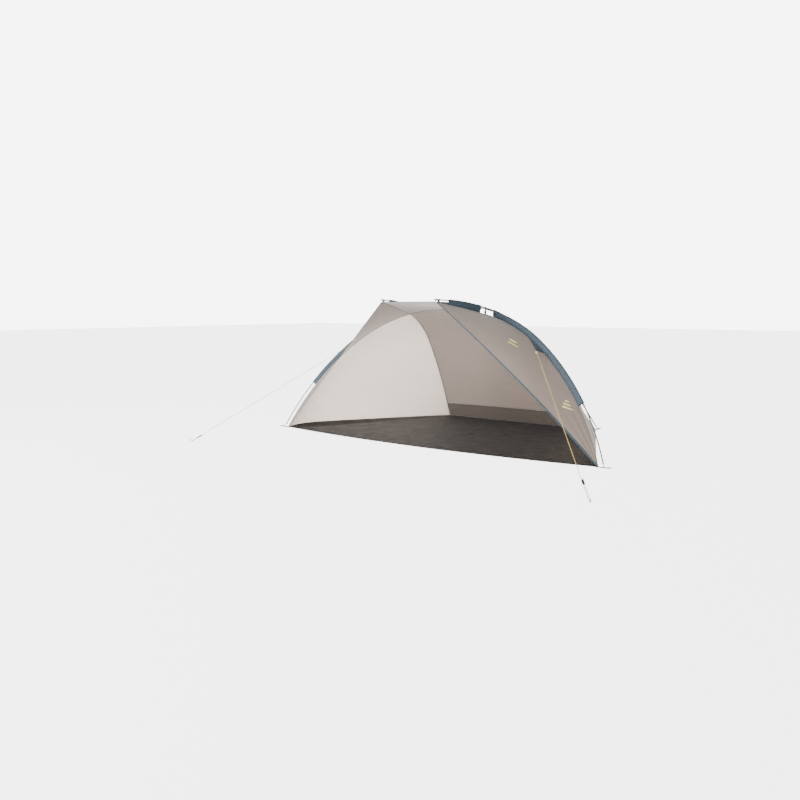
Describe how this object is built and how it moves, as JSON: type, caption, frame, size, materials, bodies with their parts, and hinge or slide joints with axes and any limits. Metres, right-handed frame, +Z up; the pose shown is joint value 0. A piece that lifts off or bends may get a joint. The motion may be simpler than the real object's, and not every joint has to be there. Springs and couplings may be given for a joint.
{
  "type": "beach tarp shelter",
  "caption": "Open-fronted half-dome tarp shelter: sewn canopy and groundsheet on sleeved shock-corded poles, with corner peg rings and guylines.",
  "frame": {"origin": "on the ground, on the centre plane, half way between the front tips of the roof poles and the rear corner rings", "axes": "+Z up, +X to the shelter's right seen from the front opening's outside, +Y from the open front to the back"},
  "size_m": [3.1367, 2.4337, 1.0319],
  "materials": {
    "pole_fibreglass": "smooth wound fibreglass tube, satin",
    "ferrule_steel": "drawn steel tube, satin",
    "elastic": "braided elastic cord",
    "tip_plastic": "moulded plastic, satin",
    "pin_steel": "plain steel",
    "canopy_cream": "coated polyester, plain weave",
    "canopy_taupe": "coated polyester, plain weave",
    "mud_wall_cloth": "coated polyester, plain weave",
    "ground_cloth": "woven polyethylene sheet",
    "sleeve_blue": "coated polyester, plain weave",
    "edge_tape": "bound woven tape",
    "webbing": "woven webbing",
    "clip_plastic": "moulded plastic, satin",
    "ring_white": "moulded plastic",
    "ring_steel": "dark coated steel wire",
    "guy_cord": "braided cord",
    "slider_plastic": "moulded plastic, satin",
    "peg_steel": "galvanised steel wire"
  },
  "bodies": {
    "shelter": {"back_panel": "canopy_taupe", "brow_tabs": "webbing", "brow_tape": "edge_tape", "corner_pins": "pin_steel", "corner_tabs": "webbing", "groundsheet": "ground_cloth", "guy_pegs": "peg_steel", "hoop_ferrules": "ferrule_steel", "hoop_pole_section_1": "pole_fibreglass", "hoop_pole_section_2": "pole_fibreglass", "hoop_pole_section_3": "pole_fibreglass", "hoop_pole_section_4": "pole_fibreglass", "hoop_pole_section_5": "pole_fibreglass", "hoop_pole_section_6": "pole_fibreglass", "hoop_pole_section_7": "pole_fibreglass", "hoop_sleeve_centre": "sleeve_blue", "hoop_sleeve_left": "sleeve_blue", "hoop_sleeve_right": "sleeve_blue", "junction_straps": "webbing", "left_brow_sleeve": "sleeve_blue", "left_brow_tip_cap": "tip_plastic", "left_front_tape": "edge_tape", "left_gusset": "sleeve_blue", "left_guy_ring": "ring_white", "left_guyline": "guy_cord", "left_guyline_tail": "guy_cord", "left_junction_clip": "clip_plastic", "left_rear_sleeve": "sleeve_blue", "left_side_panel": "canopy_cream", "left_side_pole_section_1": "pole_fibreglass", "left_side_pole_section_2": "pole_fibreglass", "left_side_pole_section_3": "pole_fibreglass", "left_side_pole_section_4": "pole_fibreglass", "left_wing_panel": "canopy_taupe", "rear_mud_wall": "mud_wall_cloth", "right_brow_sleeve": "sleeve_blue", "right_brow_tip_cap": "tip_plastic", "right_front_tape": "edge_tape", "right_gusset": "sleeve_blue", "right_guy_ring": "ring_white", "right_guyline": "guy_cord", "right_guyline_tail": "guy_cord", "right_junction_clip": "clip_plastic", "right_rear_sleeve": "sleeve_blue", "right_side_panel": "canopy_cream", "right_side_pole_section_1": "pole_fibreglass", "right_side_pole_section_2": "pole_fibreglass", "right_side_pole_section_3": "pole_fibreglass", "right_side_pole_section_4": "pole_fibreglass", "right_wing_panel": "canopy_taupe", "roof_panel": "canopy_taupe", "shock_cords": "elastic", "side_pole_ferrules": "ferrule_steel"},
    "left_slider": {"left_slider": "slider_plastic"},
    "right_slider": {"right_slider": "slider_plastic"},
    "left_front_ring": {"left_front_ring": "ring_steel"},
    "right_front_ring": {"right_front_ring": "ring_steel"},
    "left_rear_ring": {"left_rear_ring": "ring_steel"},
    "right_rear_ring": {"right_rear_ring": "ring_steel"}
  },
  "joints": [
    {"name": "left_slider_slide", "type": "slide", "parent": "shelter", "child": "left_slider", "axis": [0.3908, 0.7901, 0.4723], "range_m": [-0.03, 0.3]},
    {"name": "right_slider_slide", "type": "slide", "parent": "shelter", "child": "right_slider", "axis": [-0.5737, 0.6902, 0.441], "range_m": [-0.12, 0.3]},
    {"name": "left_front_ring_hinge", "type": "hinge", "parent": "shelter", "child": "left_front_ring", "pos_m": [-1.40991, -0.6543, 0.00325], "axis": [0, 1, 0], "range_deg": [0, 110]},
    {"name": "right_front_ring_hinge", "type": "hinge", "parent": "shelter", "child": "right_front_ring", "pos_m": [1.40991, -0.6543, 0.00325], "axis": [0, -1, 0], "range_deg": [0, 110]},
    {"name": "left_rear_ring_hinge", "type": "hinge", "parent": "shelter", "child": "left_rear_ring", "pos_m": [-0.70631, 0.79158, 0.00325], "axis": [1, 0, 0], "range_deg": [0, 110]},
    {"name": "right_rear_ring_hinge", "type": "hinge", "parent": "shelter", "child": "right_rear_ring", "pos_m": [0.70631, 0.79158, 0.00325], "axis": [1, 0, 0], "range_deg": [0, 110]}
  ]
}
